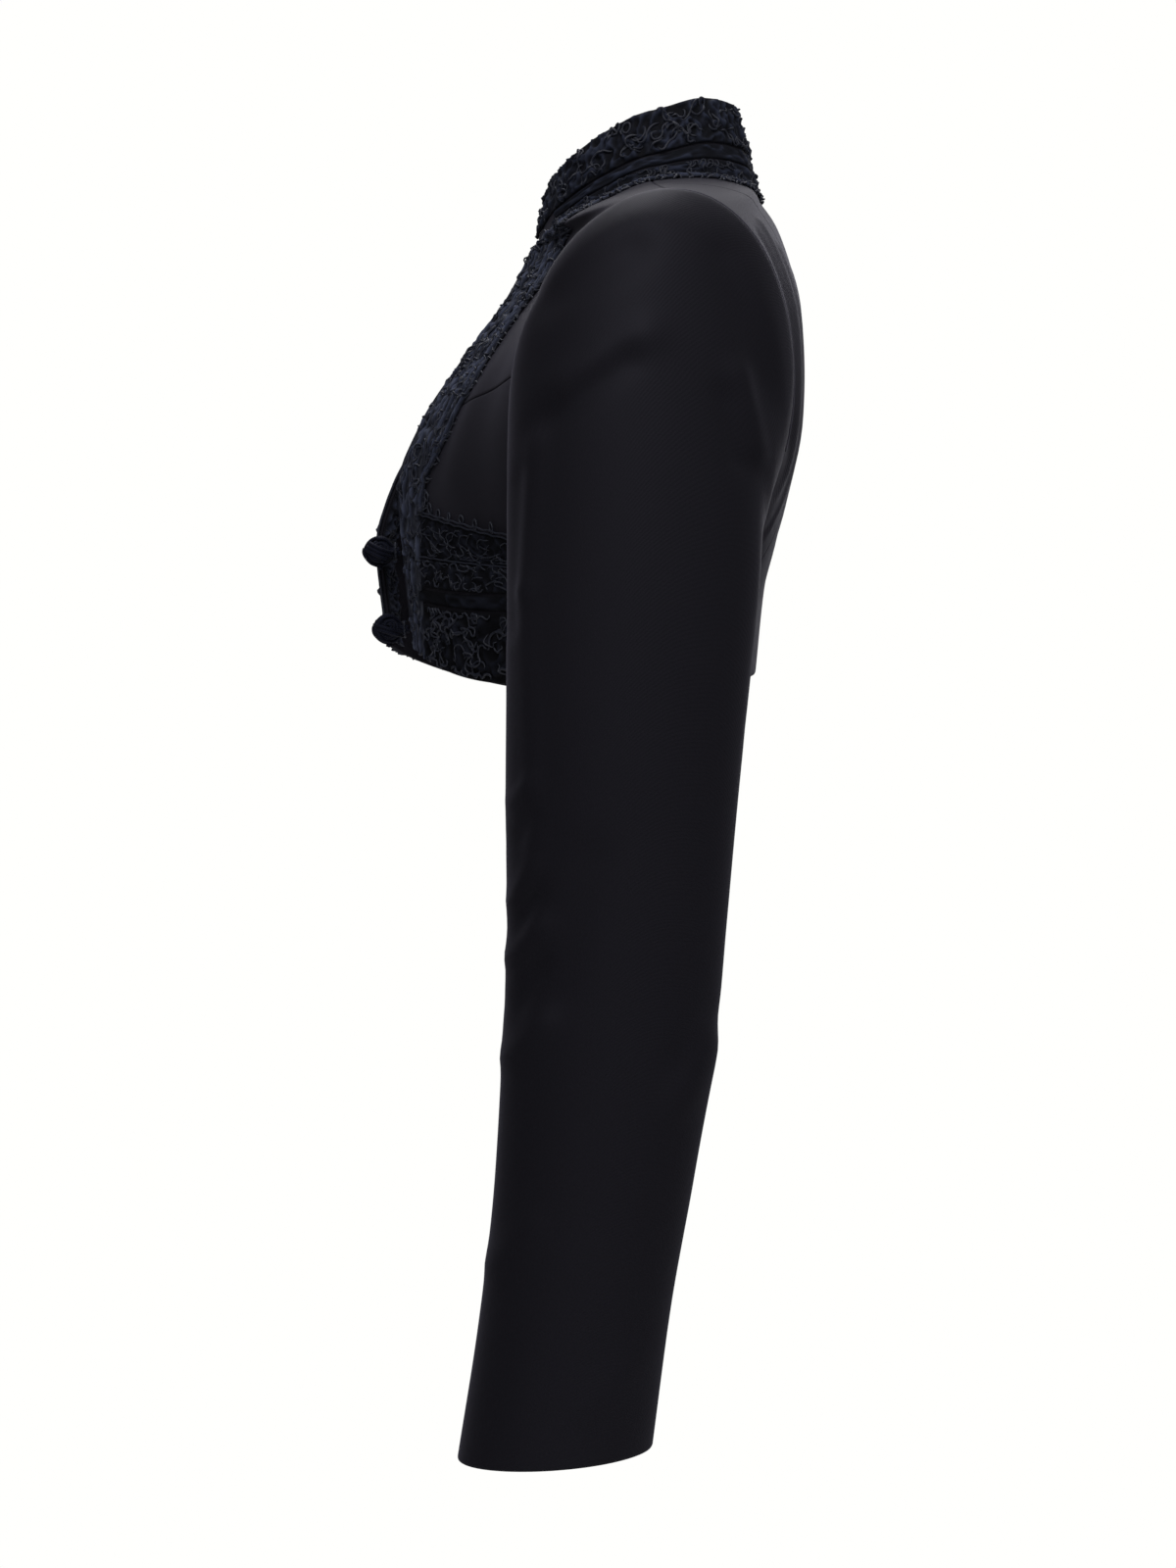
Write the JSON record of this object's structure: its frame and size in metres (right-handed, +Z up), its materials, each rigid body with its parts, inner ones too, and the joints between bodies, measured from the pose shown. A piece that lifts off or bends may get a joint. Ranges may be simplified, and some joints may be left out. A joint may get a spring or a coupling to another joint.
{
  "type": "cropped jacket",
  "caption": "Hollow cropped jacket as worn, with a stand collar, long sleeves, curled cord trim along collar, fronts and front hem, and ball buttons in cord loops.",
  "frame": {"origin": "level with the shoulder points, on the axis of the neck, where the wearer's shoulders hold the jacket", "axes": "+Z up, the front towards -Y, the wearer's left at +X"},
  "size_m": [0.4808, 0.2252, 0.6619],
  "materials": {
    "twill": "smooth black twill with a soft sheen",
    "cord": "matt blue-black curled cord and braid",
    "button_thread": "blue-black thread wound on a ball"
  },
  "bodies": {
    "root": {"front_yoke_L": "twill", "front_yoke_R": "twill", "front_lower_L": "twill", "front_lower_R": "twill", "back_center_L": "twill", "back_center_R": "twill", "back_side_L": "twill", "back_side_R": "twill", "sleeve_top_L": "twill", "sleeve_top_R": "twill", "sleeve_under_L": "twill", "sleeve_under_R": "twill", "collar": "twill", "collar_trim": "cord", "collar_braid": "cord", "neck_edge_L": "cord", "neck_edge_R": "cord", "front_trim_L": "cord", "front_trim_R": "cord", "front_braid_L": "cord", "front_braid_R": "cord", "hem_trim_L": "cord", "hem_trim_R": "cord", "ball_button_1": "button_thread", "ball_button_2": "button_thread", "button_loop_1": "cord", "button_loop_2": "cord"}
  },
  "joints": []
}
